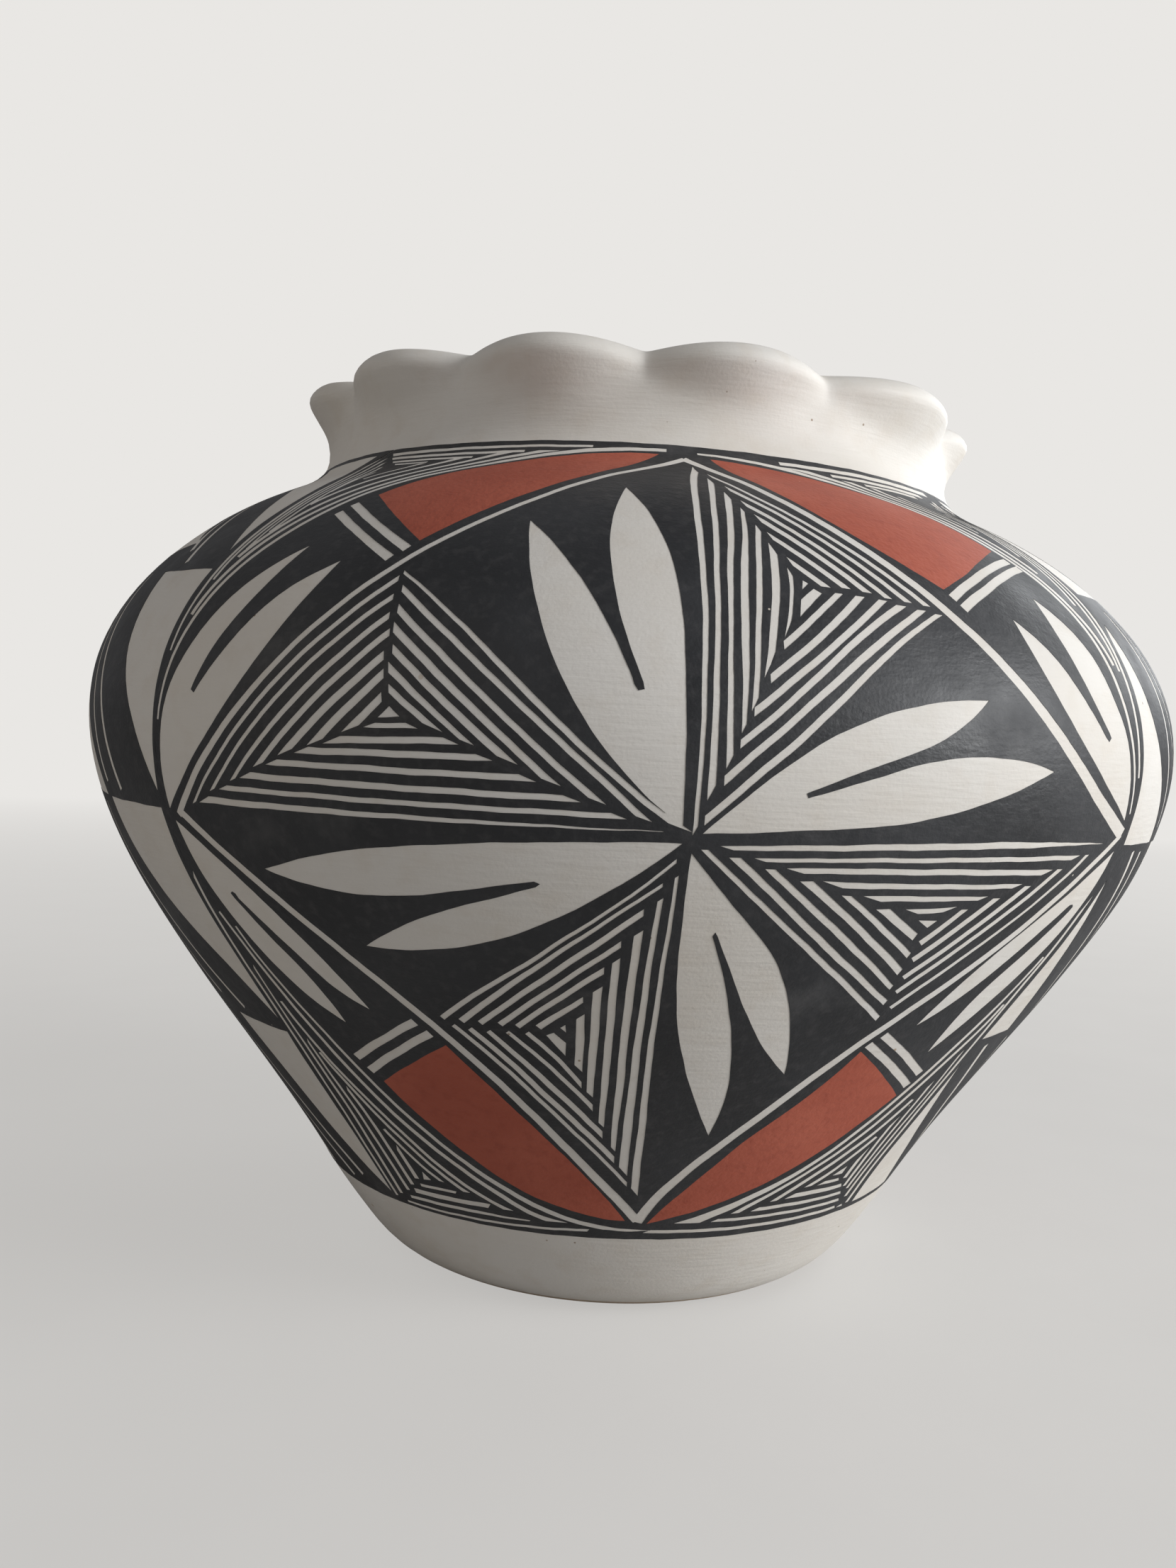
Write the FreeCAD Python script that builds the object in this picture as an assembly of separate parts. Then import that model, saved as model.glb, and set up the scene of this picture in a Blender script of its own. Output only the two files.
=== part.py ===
import FreeCAD, Part
import math
import os

# A coil-built pottery jar. Millimetres, +Z up. The origin is on the axis, in the plane of the resting ring.
# The walls are rings of clay, each lapped over the one below, and a thin coat of white slip covers them.

# Overall shape of the outside, slip included
foot_radius = 38.0
belly_radius = 108.0
belly_height = 104.5
neck_radius = 66.2
neck_height = 153.0
waist_inset = 2.6
waist_rise = 8.0

# Base
ring_width = 12.0
hollow_depth = 1.6
base_thickness = 6.4
slip_edge_arc = 10.0
base_slab_arc = 16.0

# Walls
wall_thickness = 4.6
thick_base_arc = 60.0
slip_thickness = 0.4
coil_count = 8
lap_length = 5.0
neck_coil_overlap = 3.0

# Fluted rim
lobe_count = 12
rim_height = 10.4
valley_drop = 1.4
rim_thickness = 5.4
lobe_flare = 4.9
valley_flare = 1.0
first_valley_angle = -89.1

# Outline of the lower wall: share of the way from foot to belly, outward and up
lower_wall_shares = [
    (0.0, 0.0), (0.131, 0.019), (0.231, 0.0895), (0.301, 0.159), (0.387, 0.252),
    (0.576, 0.436), (0.79, 0.646), (0.972, 0.892),
]
# Outline of the shoulder: share of the way from neck to belly outward, and from belly to neck up
shoulder_shares = [
    (1.0, 0.0), (0.955, 0.26), (0.614, 0.66), (0.245, 0.866), (0.0, 1.0),
]
# Outline of the neck: share of the way from waist to neck outward, and from neck to waist up
neck_shares = [(0.45, 0.27), (0.12, 0.62), (0.0, 1.0)]

# Outline of the lip, from the outer waist over the top to the inner waist: shares of the flare outward,
# of the rim's thickness inward, and of the rim's height up
lip_shares = [
    (0.0, 0.0, 0.0), (0.06, 0.0, 0.22), (0.33, 0.0, 0.41), (0.77, 0.0, 0.58), (1.0, 0.0, 0.76),
    (1.0, 0.17, 0.93), (1.0, 0.55, 1.0), (1.0, 0.98, 0.92), (0.75, 1.1, 0.73), (0.42, 1.06, 0.5),
    (0.08, 1.0, 0.25), (0.0, 1.0, 0.0),
]
# Where the loft's sections lie within a lobe, from one valley to the next
section_shares = [0.0, 0.06, 0.15, 0.3, 0.5, 0.7, 0.85, 0.94]
# The fingers that pressed the lobes didn't space them evenly: each valley's wander, as a share of a lobe
valley_wander_shares = [0.0, 0.0, 0.14, 0.1, -0.05, 0.06, 0.0, -0.08, 0.04, 0.1, 0.03, 0.02]
# How narrow a valley is, and how round its bottom
valley_power_share = 0.76
valley_round_share = 0.08

# The hollow under the base is an arc: where its middle point lies
hollow_half_share = 0.5
hollow_sag_share = 0.75

outline_samples = 48
full_turn = 360.0

waist_radius = neck_radius - waist_inset
waist_height = neck_height + waist_rise


def vector(radius, height):
    return FreeCAD.Vector(radius, 0, height)


def spline(points, parameters=None):
    curve = Part.BSplineCurve()
    if parameters:
        curve.interpolate(Points=points, Parameters=parameters)
    else:
        curve.interpolate(Points=points)
    return curve


def outline_points():
    """The outside of the jar from the edge of the resting ring up to the waist of the neck."""
    points = []
    for out, up in lower_wall_shares:
        points.append(vector(foot_radius + out * (belly_radius - foot_radius), up * belly_height))
    for out, up in shoulder_shares:
        points.append(vector(neck_radius + out * (belly_radius - neck_radius),
                             belly_height + up * (neck_height - belly_height)))
    for out, up in neck_shares:
        points.append(vector(waist_radius + out * (neck_radius - waist_radius),
                             neck_height + up * (waist_height - neck_height)))
    return points


def inward(curve, u, depth):
    """The point that lies a depth inside the wall, square to the outline."""
    tangent = curve.tangent(u)[0]
    normal = FreeCAD.Vector(-tangent.z, 0, tangent.x)
    return curve.value(u) + normal * depth


def inner_curve(curve, depth_at):
    """A curve inside the outline with the same parameter, at a depth that may vary along it."""
    first = curve.FirstParameter
    step = (curve.LastParameter - first) / outline_samples
    parameters = [first + step * i for i in range(outline_samples + 1)]
    return spline([inward(curve, u, depth_at(u)) for u in parameters], parameters)


def piece(curve, start, end):
    """The stretch of a curve between two parameters, as an edge."""
    return curve.toShape(min(start, end), max(start, end))


def line(a, b):
    return Part.LineSegment(a, b).toShape()


def turned(edges):
    """A ring: a closed outline in the XZ plane, turned once round the axis."""
    wire = Part.Wire(Part.__sortEdges__(edges))
    ring = Part.Face(wire).revolve(FreeCAD.Vector(0, 0, 0), FreeCAD.Vector(0, 0, 1), full_turn)
    return ring if ring.ShapeType == "Solid" else Part.Solid(ring)


def clay_depth(u):
    """Depth of the wall's inside: the wall thickens towards the base."""
    share = max(0.0, 1.0 - (u - outline.FirstParameter) / thick_base_arc)
    return slip_thickness + wall_thickness + (base_thickness - wall_thickness - slip_thickness) * share


outline = spline(outline_points())
bottom = outline.FirstParameter
waist = outline.LastParameter
clay_face = inner_curve(outline, lambda u: slip_thickness)
inside = inner_curve(outline, clay_depth)

slip_edge = bottom + slip_edge_arc
slab_top = bottom + base_slab_arc
# the neck coil starts a little below the corner between shoulder and neck
neck_corner = outline.parameter(vector(neck_radius, neck_height))
neck_seam = neck_corner - neck_coil_overlap


def base_slab():
    """The pressed pad of clay that the jar stands on, hollowed underneath and turned up at its edge."""
    floor_height = inside.value(bottom).z
    ring_inner = vector(foot_radius - ring_width, 0)
    hollow_centre = vector(0, hollow_depth)
    hollow_middle = vector((foot_radius - ring_width) * hollow_half_share, hollow_depth * hollow_sag_share)
    edges = [
        Part.Arc(hollow_centre, hollow_middle, ring_inner).toShape(),
        line(ring_inner, outline.value(bottom)),
        piece(outline, bottom, slip_edge),
        line(outline.value(slip_edge), clay_face.value(slip_edge)),
        piece(clay_face, slip_edge, slab_top),
        line(clay_face.value(slab_top), inside.value(slab_top - lap_length)),
        piece(inside, slab_top - lap_length, bottom),
        line(inside.value(bottom), vector(0, floor_height)),
        line(vector(0, floor_height), hollow_centre),
    ]
    return turned(edges)


def coil(start, end):
    """One flattened roll of clay, its lower and upper faces bevelled where it laps its neighbours."""
    edges = [
        piece(clay_face, start, end),
        line(clay_face.value(end), inside.value(end - lap_length)),
        piece(inside, end - lap_length, start - lap_length),
        line(inside.value(start - lap_length), clay_face.value(start)),
    ]
    return turned(edges)


def body_slip():
    """The coat of white slip from the edge of the base up to the waist of the neck."""
    edges = [
        piece(outline, slip_edge, waist),
        line(outline.value(waist), clay_face.value(waist)),
        piece(clay_face, waist, slip_edge),
        line(clay_face.value(slip_edge), outline.value(slip_edge)),
    ]
    return turned(edges)


def lobe_fullness(share):
    """How far the rim is pressed out: none in a valley, full in the middle of a lobe."""
    wave = math.hypot(math.sin(math.pi * share), valley_round_share) - valley_round_share
    return (wave / (math.hypot(1, valley_round_share) - valley_round_share)) ** valley_power_share


def lip_points(fullness):
    """The outside of the rim at one place round the mouth."""
    flare = valley_flare + (lobe_flare - valley_flare) * fullness
    height = rim_height - valley_drop * (1 - fullness)
    points = []
    for out, back, up in lip_shares:
        points.append(vector(waist_radius + out * flare - back * rim_thickness, waist_height + up * height))
    return points


def rim_sections():
    """For each section of the rim: its angle, its outer curve and the curve of the clay under the slip."""
    pitch = full_turn / lobe_count
    valleys = [first_valley_angle + pitch * (i + valley_wander_shares[i % len(valley_wander_shares)])
               for i in range(lobe_count)]
    valleys.append(valleys[0] + full_turn)
    sections = []
    for i in range(lobe_count):
        for share in section_shares:
            angle = valleys[i] + (valleys[i + 1] - valleys[i]) * share
            outer = spline(lip_points(lobe_fullness(share)))
            step = (outer.LastParameter - outer.FirstParameter) / outline_samples
            parameters = [outer.FirstParameter + step * j for j in range(outline_samples + 1)]
            clay = [inward(outer, u, slip_thickness) for u in parameters]
            clay[0] = clay_face.value(waist)
            clay[-1] = inside.value(waist)
            sections.append((angle, outer, spline(clay, parameters)))
    return sections


def lofted(sections, wire_of):
    """A closed ring through the sections, each turned to its place round the mouth."""
    wires = []
    for angle, outer, clay in sections:
        wire = wire_of(outer, clay)
        wire.rotate(FreeCAD.Vector(0, 0, 0), FreeCAD.Vector(0, 0, 1), angle)
        wires.append(wire)
    return Part.makeLoft(wires, True, False, True)


def rim_clay_wire(outer, clay):
    return Part.Wire([
        clay.toShape(),
        line(inside.value(waist), inside.value(waist - lap_length)),
        line(inside.value(waist - lap_length), clay_face.value(waist)),
    ])


def rim_slip_wire(outer, clay):
    return Part.Wire([
        outer.toShape(),
        line(outer.value(outer.LastParameter), inside.value(waist)),
        clay.toShape(),
        line(clay_face.value(waist), outer.value(outer.FirstParameter)),
    ])


def save(shape, node):
    solids = shape.Solids
    print(node, "valid", shape.isValid(), "solids", len(solids), "volume", round(shape.Volume, 1))
    shape.exportStep(os.path.join("parts", node + ".step"))


os.makedirs("parts", exist_ok=True)
save(base_slab(), "base_slab")
coil_arc = (neck_seam - slab_top) / coil_count
for number in range(coil_count):
    lower = slab_top + coil_arc * number
    save(coil(lower, lower + coil_arc), "wall_coil_" + str(number + 1))
save(coil(neck_seam, waist), "neck_coil")
sections = rim_sections()
save(lofted(sections, rim_clay_wire), "fluted_rim_coil")
save(body_slip(), "body_slip")
save(lofted(sections, rim_slip_wire), "rim_slip")
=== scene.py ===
# A coil-built pueblo jar: a pressed base, eight wall coils, a neck coil and a fluted rim coil, a coat of
# white slip, and a pattern painted over it in black and red. It is worked out in millimetres and degrees.
import math
import bpy
import numpy as np
from mathutils import Matrix, Vector
from mathutils.geometry import delaunay_2d_cdt


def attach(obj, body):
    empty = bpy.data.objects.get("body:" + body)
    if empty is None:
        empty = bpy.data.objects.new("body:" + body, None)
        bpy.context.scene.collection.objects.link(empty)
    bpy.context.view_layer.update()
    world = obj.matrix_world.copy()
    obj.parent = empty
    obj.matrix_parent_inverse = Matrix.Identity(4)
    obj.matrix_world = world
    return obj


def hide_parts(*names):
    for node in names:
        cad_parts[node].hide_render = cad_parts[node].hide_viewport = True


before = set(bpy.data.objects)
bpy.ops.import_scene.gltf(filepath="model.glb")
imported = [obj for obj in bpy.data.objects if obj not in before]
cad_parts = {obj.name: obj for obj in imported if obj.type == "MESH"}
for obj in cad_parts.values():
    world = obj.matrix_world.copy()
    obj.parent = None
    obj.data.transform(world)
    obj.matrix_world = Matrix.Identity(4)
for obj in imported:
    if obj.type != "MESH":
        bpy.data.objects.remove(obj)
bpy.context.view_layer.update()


# The pressed base
# A pad of clay, hollowed a little underneath, that the jar stands on. It is the frame's own piece, fired and
# left bare: buff clay with crushed sherds in it, rubbed smooth on the ring that it rests on.

mm = 0.001


def colour(red, green, blue):
    """A colour as it looks, 0 to 255, turned into the light that the shader wants."""
    light = [((part / 255 + 0.055) / 1.055) ** 2.4 for part in (red, green, blue)]
    return (*light, 1.0)


def node(tree, kind, inputs, **settings):
    """One shader node. Each input is a number, a colour or another node's output."""
    made = tree.nodes.new("ShaderNode" + kind)
    for name, value in settings.items():
        setattr(made, name, value)
    for name, value in inputs.items():
        if isinstance(value, bpy.types.NodeSocket):
            tree.links.new(value, made.inputs[name])
        else:
            made.inputs[name].default_value = value
    return made


def places(tree, squeeze=1.0):
    """Places on the jar in millimetres. Squeezed, they make grain that runs round the jar."""
    place = node(tree, "TexCoord", {}).outputs["Object"]
    scale = (1 / mm, 1 / mm, squeeze / mm)
    return node(tree, "Mapping", {"Vector": place, "Scale": scale}).outputs["Vector"]


def cloud(tree, place, size, detail=3.0):
    """Cloudy blotches about so many millimetres across."""
    return node(tree, "TexNoise", {"Vector": place, "Scale": 1 / size, "Detail": detail}).outputs["Fac"]


def ramp(tree, value, low, high, start=0.0, end=1.0):
    """Stretches the part of a value between low and high over start to end."""
    return node(tree, "MapRange", {"Value": value, "From Min": low, "From Max": high,
                                   "To Min": start, "To Max": end}).outputs["Result"]


def join(tree, way, first, second):
    """Two values added, multiplied or compared."""
    return node(tree, "Math", {0: first, 1: second}, operation=way).outputs["Value"]


def mixed(tree, share, first, second):
    """One colour laid over another by a share from 0 to 1."""
    return node(tree, "Mix", {0: share, 6: first, 7: second}, data_type="RGBA").outputs[2]


def specks(tree, place, spacing, size, kept):
    """Round specks of about a size, one to a cell of so many millimetres, in a share of the cells."""
    cell = node(tree, "TexVoronoi", {"Vector": place, "Scale": 1 / spacing})
    near = ramp(tree, cell.outputs["Distance"], size / spacing / 2, size / spacing / 3)
    pick = node(tree, "SeparateColor", {"Color": cell.outputs["Color"]}).outputs["Red"]
    fade = 0.02
    return join(tree, "MULTIPLY", near, ramp(tree, pick, 1 - kept, 1 - kept + fade))


def finish(name, roughness, gloss):
    """A new finish, its node tree and its shader."""
    material = bpy.data.materials.new(name)
    material.use_nodes = True
    shader = material.node_tree.nodes["Principled BSDF"]
    shader.inputs["Roughness"].default_value = roughness
    shader.inputs["Specular IOR Level"].default_value = gloss
    return material, material.node_tree, shader


def rough_skin(tree, shader, height, depth):
    """Raises the surface by a height pattern, up to a depth in millimetres."""
    bump = node(tree, "Bump", {"Height": height, "Distance": depth * mm})
    tree.links.new(bump.outputs["Normal"], shader.inputs["Normal"])


fired_clay, tree, shader = finish("fired clay", 0.8, 0.25)
here = places(tree)
buff = mixed(tree, ramp(tree, cloud(tree, here, 38), 0.3, 0.7),
             colour(190, 170, 148), colour(206, 190, 170))
buff = mixed(tree, ramp(tree, cloud(tree, here, 6), 0.45, 0.75, 0, 0.5), buff, colour(172, 150, 130))
buff = mixed(tree, specks(tree, here, 2.6, 0.9, 0.4), buff, colour(146, 124, 108))
buff = mixed(tree, specks(tree, here, 1.7, 0.6, 0.3), buff, colour(226, 218, 204))
tree.links.new(buff, shader.inputs["Base Color"])
scraped = cloud(tree, places(tree, 7.0), 4.0, 5.0)
grit = cloud(tree, here, 0.8, 2.0)
rough_skin(tree, shader, join(tree, "ADD", scraped, ramp(tree, grit, 0, 1, 0, 0.4)), 0.25)

base_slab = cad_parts["base_slab"]
base_slab.data.materials.clear()
base_slab.data.materials.append(fired_clay)


# The wall coils
# Eight rolls of clay, each lapped over the one below and scraped thin, then the roll of the neck. The potter
# turned no wheel, so the wall isn't quite true: it swells and dips a little, and the jar leans.

foot_radius, belly_radius, neck_radius = 38.0, 108.0, 66.2
belly_height, neck_height = 104.5, 153.0
waist_radius, waist_height = neck_radius - 2.6, neck_height + 8.0
lower_wall_shares = [(0.0, 0.0), (0.131, 0.019), (0.231, 0.0895), (0.301, 0.159), (0.387, 0.252),
                     (0.576, 0.436), (0.79, 0.646), (0.972, 0.892)]
shoulder_shares = [(1.0, 0.0), (0.955, 0.26), (0.614, 0.66), (0.245, 0.866), (0.0, 1.0)]
neck_shares = [(0.45, 0.27), (0.12, 0.62), (0.0, 1.0)]

wall_thickness, base_thickness, thick_base_arc = 4.6, 6.4, 60.0
slip_thickness = 0.4
slab_top, lap_length, neck_overlap = 16.0, 5.0, 3.0
coil_count = 8

# slopes of the lean to the right and to the back, at the foot line and at the neck, and where it starts
foot_line_height = 20.2
foot_lean, neck_lean = (0.0077, 0.0056), (-0.0216, 0.0091)
lean_starts = 6.5
# swells of the wall: how many round the jar, how fast they climb per mm, where they start, how high in mm
swells = [(2, 0.021, 0.4, 0.1), (3, -0.03, 2.1, 0.08), (5, 0.05, 4.0, 0.05), (9, -0.09, 1.2, 0.03),
          (14, 0.16, 5.2, 0.02), (23, -0.27, 3.3, 0.01)]
# steps of the mesh, in degrees round the jar and in mm up the wall
coil_turn_step, coil_rise_step = 1.5, 2.5
# how far to each side of a place its slope and its outward direction are taken
probe, nearby = 0.05, 0.1
# corners of a section that are sharper than this stay sharp
sharp_corner = 40
# what share of a piece's picture goes to its outside, for a piece that is seen and for one that is hidden
seen_share, hidden_share = 0.8, 0.02


def smooth_line(points, knots=None):
    """A smooth line through points, as a function of the distance along it."""
    spots = np.array(points, float)
    if knots is None:
        knots = np.r_[0, np.cumsum(np.linalg.norm(np.diff(spots, axis=0), axis=1))]
    steps = np.diff(knots)
    chords = np.diff(spots, axis=0) / steps[:, None]
    if len(spots) == 2:
        return knots, lambda along: spots[0] + chords[0] * np.asarray(along)[..., None]
    solve = np.eye(len(spots))
    slopes = np.zeros_like(spots)
    slopes[0] = chords[0] + (chords[0] - chords[1]) * steps[0] / (steps[0] + steps[1])
    slopes[-1] = chords[-1] + (chords[-1] - chords[-2]) * steps[-1] / (steps[-1] + steps[-2])
    for i in range(1, len(spots) - 1):
        solve[i, i - 1:i + 2] = 1 / steps[i - 1], 2 / steps[i - 1] + 2 / steps[i], 1 / steps[i]
        slopes[i] = 3 * (chords[i - 1] / steps[i - 1] + chords[i] / steps[i])
    slopes = np.linalg.solve(solve, slopes)

    def at(along):
        along = np.asarray(along, float)
        i = np.clip(np.searchsorted(knots, along, side="right") - 1, 0, len(spots) - 2)
        step = steps[i][..., None]
        t = (along - knots[i])[..., None] / step
        return (spots[i] * (1 + 2 * t) * (1 - t) ** 2 + slopes[i] * step * t * (1 - t) ** 2
                + spots[i + 1] * t * t * (3 - 2 * t) - slopes[i + 1] * step * t * t * (1 - t))
    return knots, at


def stretch(shares, inner, outer, low, high):
    """Points of the outline from their shares of the way outward and up."""
    return [(inner + out * (outer - inner), low + up * (high - low)) for out, up in shares]


wall_line = stretch(lower_wall_shares, foot_radius, belly_radius, 0, belly_height)
wall_line += stretch(shoulder_shares, neck_radius, belly_radius, belly_height, neck_height)
neck_at = len(wall_line) - 1
wall_line += stretch(neck_shares, waist_radius, neck_radius, neck_height, waist_height)
wall_knots, wall_at = smooth_line(wall_line)
waist = wall_knots[-1]
neck_seam = wall_knots[neck_at] - neck_overlap

# the fingers that press the lobes of the rim push the top of the neck out with them
lobe_count = 12
first_valley = 0.9
valley_wander_shares = [0.0, 0.0, 0.3, 0.24, 0.1, 0.08, 0.0, -0.08, 0.04, 0.1, 0.03, 0.02]
valley_power_share, valley_round_share = 0.95, 0.1
neck_push, push_reach = 1.0, 6.5
valleys = first_valley + 360 / lobe_count * (np.arange(lobe_count) + valley_wander_shares)
valleys = np.append(valleys, valleys[0] + 360)


def lobe_fullness(turn):
    """How far the rim is pressed out: none in a valley, full in the middle of a lobe."""
    turn = (turn - valleys[0]) % 360 + valleys[0]
    i = np.clip(np.searchsorted(valleys, turn, side="right") - 1, 0, lobe_count - 1)
    share = (turn - valleys[i]) / (valleys[i + 1] - valleys[i])
    wave = np.hypot(np.sin(math.pi * share), valley_round_share) - valley_round_share
    crest = math.hypot(1, valley_round_share) - valley_round_share
    return np.clip(wave / crest, 0, 1) ** valley_power_share


def swell(turn, rise):
    """How far the wall swells outward at a place, in mm."""
    angle = np.radians(turn)
    return sum(height * np.sin(count * angle + climb * rise + start)
               for count, climb, start, height in swells)


def leaned(radius, height, turn):
    """A place from its radius, height and turn round the jar, moved as the jar leans."""
    angle = np.radians(turn)
    right, back = radius * np.sin(angle), -radius * np.cos(angle)
    up = np.clip((height - foot_line_height) / (neck_height - foot_line_height), 0, 1)
    start = np.clip((height - lean_starts) / (foot_line_height - lean_starts), 0, 1)
    to_right, to_back = ((1 - up) * foot + up * neck for foot, neck in zip(foot_lean, neck_lean))
    drop = start * start * (3 - 2 * start) * (to_right * right + to_back * back)
    return np.stack(np.broadcast_arrays(right, back, height + drop), -1)


def wall(turn, rise, depth=0.0):
    """A place in the wall: degrees round the jar, mm up along its outline, mm below its surface."""
    turn, rise, depth = np.broadcast_arrays(turn, rise, depth)
    along = wall_at(rise + probe) - wall_at(rise - probe)
    along /= np.linalg.norm(along, axis=-1, keepdims=True)
    ease = np.clip((rise - slab_top) / foot_line_height, 0, 1)
    push = neck_push * lobe_fullness(turn) ** 2 * np.maximum(1 - (waist - rise) / push_reach, 0) ** 2
    depth = depth - ease * swell(turn, rise) - push
    spot = wall_at(rise) + np.stack([-along[..., 1], along[..., 0]], -1) * depth[..., None]
    return leaned(spot[..., 0], spot[..., 1], turn)


def clay_depth(rise):
    """How deep the inside of the wall lies: the wall thickens towards the base."""
    thick = np.clip(1 - rise / thick_base_arc, 0, 1)
    return slip_thickness + wall_thickness + (base_thickness - wall_thickness - slip_thickness) * thick


def outward(surface, turn, rise):
    """Which way a surface faces, from places a little to each side."""
    across = surface(turn + nearby, rise) - surface(turn - nearby, rise)
    up = surface(turn, rise + nearby) - surface(turn, rise - nearby)
    way = np.cross(across, up)
    return way / np.linalg.norm(way, axis=-1, keepdims=True)


def piece_of(name, corners, faces, material, *cad_nodes):
    """A piece of the jar from its corners in mm. It may stand for pieces of the frame."""
    mesh = bpy.data.meshes.new(name)
    mesh.from_pydata((corners * mm).tolist(), [], [list(face) for face in faces])
    mesh.polygons.foreach_set("use_smooth", [True] * len(mesh.polygons))
    mesh.materials.append(material)
    piece = bpy.data.objects.new(name, mesh)
    bpy.context.scene.collection.objects.link(piece)
    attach(piece, "root")
    if cad_nodes:
        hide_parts(*cad_nodes)
    return piece


def ring_of(name, sections, material, cad_node, skin=None):
    """A closed ring through sections, one for each step round the jar. A section runs up the outside and
    down the inside. skin holds the directions of the outside, where the section starts."""
    turns, corners = sections.shape[:2]
    index = np.arange(turns * corners).reshape(turns, corners)
    onward = np.roll(index, -1, 0)
    faces = np.stack([index, onward, np.roll(onward, -1, 1), np.roll(index, -1, 1)], -1).reshape(-1, 4)
    piece = piece_of(name, sections.reshape(-1, 3), faces, material, cad_node)
    mesh = piece.data
    mesh.set_sharp_from_angle(angle=math.radians(sharp_corner))
    outside = 0 if skin is None else skin.shape[1]
    # unrolled for the bake, with its outside first
    share = seen_share if outside else hidden_share
    tall = np.interp(np.arange(corners + 1), [0, max(outside - 1, 1), corners], [0, share, 1])
    right, up = np.meshgrid(np.arange(turns), np.arange(corners), indexing="ij")
    flat = np.stack([np.stack([right + dx, up + dy], -1)
                     for dx, dy in ((0, 0), (1, 0), (1, 1), (0, 1))], -2)
    flat = np.stack([flat[..., 0] / turns, tall[flat[..., 1]]], -1)
    mesh.uv_layers.new(name="OFBake").data.foreach_set("uv", flat.ravel())
    if outside:
        ways = np.zeros(len(mesh.loops) * 3)
        mesh.corner_normals.foreach_get("vector", ways)
        ways = ways.reshape(turns, corners, 4, 3)
        ahead = np.roll(skin, -1, 0)
        rows = slice(0, outside - 1)
        ways[:, rows] = np.stack([skin[:, :-1], ahead[:, :-1], ahead[:, 1:], skin[:, 1:]], 2)
        mesh.normals_split_custom_set(ways.reshape(-1, 3))
    return piece


def steps_between(start, end, size):
    """Even steps from start to end, none larger than a size."""
    return np.linspace(start, end, max(2, math.ceil(abs(end - start) / size) + 1))


def coil_sections(start, end, turns):
    """Sections of one coil, bevelled where it laps its neighbours."""
    outer = steps_between(start, end, coil_rise_step)
    inner = steps_between(end - lap_length, start - lap_length, coil_rise_step)
    rise = np.concatenate([outer, inner])
    depth = np.concatenate([np.full(len(outer), slip_thickness), clay_depth(inner)])
    return wall(turns[:, None], rise[None], depth[None])


coil_turns = np.arange(0, 360, coil_turn_step)
coil_arc = (neck_seam - slab_top) / coil_count
for number in range(coil_count):
    lower = slab_top + coil_arc * number
    coil = ring_of(f"scraped_wall_coil_{number + 1}", coil_sections(lower, lower + coil_arc, coil_turns),
                   fired_clay, f"wall_coil_{number + 1}")

neck_sections = coil_sections(neck_seam, waist, coil_turns)
neck_coil = ring_of("scraped_neck_coil", neck_sections, fired_clay, "neck_coil")


# The fluted rim coil
# The last roll of clay, lapped inside the neck's and pressed outward between finger and thumb into twelve
# lobes. No two of the lobes are of quite the same width.

rim_height, valley_drop, rim_thickness = 10.4, 1.4, 5.4
lobe_flare, valley_flare = 5.0, -0.3
rim_turn_step, lip_step = 0.5, 0.8
# beside a valley the rim flares later than in the middle of a lobe
valley_lateness = 1.4
# outline of the lip, from the outer waist over the top to the inner waist: shares of the flare outward,
# of the rim's thickness inward, and of the rim's height up
lip_shares = [(0.0, 0.0, 0.0), (0.2, 0.0, 0.16), (0.5, 0.0, 0.34), (0.8, 0.0, 0.52), (1.0, 0.0, 0.72),
              (1.0, 0.2, 0.9), (1.0, 0.58, 1.0), (1.0, 0.98, 0.93), (0.75, 1.1, 0.74), (0.42, 1.06, 0.5),
              (0.08, 1.0, 0.25), (0.0, 1.0, 0.0)]
lip_size = np.array([lobe_flare, -rim_thickness, rim_height])
lip_steps = np.diff(np.array(lip_shares) * lip_size, axis=0)
lip_knots = np.r_[0, np.cumsum(np.hypot(lip_steps[:, 0] + lip_steps[:, 1], lip_steps[:, 2]))]
lip_at = smooth_line(lip_shares, lip_knots)[1]


def lip(turn, along, depth=0.0):
    """A place in the rim: degrees round the jar, mm over the lip from outside, mm below its surface."""
    turn, along, depth = np.broadcast_arrays(turn, along, depth)
    full = lobe_fullness(turn)

    def spot_at(along):
        out, back, up = np.moveaxis(lip_at(along), -1, 0)
        push = neck_push * full ** 2
        out = np.clip(out, 0, None) ** (1 + valley_lateness * (1 - full))
        flare = valley_flare + (lobe_flare - valley_flare) * full - push
        height = rim_height - valley_drop * (1 - full)
        radius = waist_radius + push + out * flare - back * rim_thickness
        return np.stack([radius, waist_height + up * height], -1)

    way = spot_at(along + probe) - spot_at(along - probe)
    way /= np.linalg.norm(way, axis=-1, keepdims=True)
    spot = spot_at(along) + np.stack([-way[..., 1], way[..., 0]], -1) * depth[..., None]
    return leaned(spot[..., 0] + swell(turn, waist), spot[..., 1], turn)


rim_turns = np.arange(0, 360, rim_turn_step)[:, None]
lip_along = steps_between(0, lip_knots[-1], lip_step)[None]
inner_waist = wall(rim_turns, waist, clay_depth(waist))
outer_waist = wall(rim_turns, waist, slip_thickness)
rim_clay = lip(rim_turns, lip_along[:, 1:-1], slip_thickness)
inside_lap = wall(rim_turns, waist - lap_length, clay_depth(waist - lap_length))
rim_sections = np.concatenate([outer_waist, rim_clay, inner_waist, inside_lap], 1)
rim_coil = ring_of("pressed_rim_coil", rim_sections, fired_clay, "fluted_rim_coil")


# The white slip
# A thin coat of fine white clay, wiped on in several layers over the whole outside and over the lip, and
# rubbed with a stone until it is smooth. It shows faint strokes, warm stains and a few pinholes.

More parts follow.
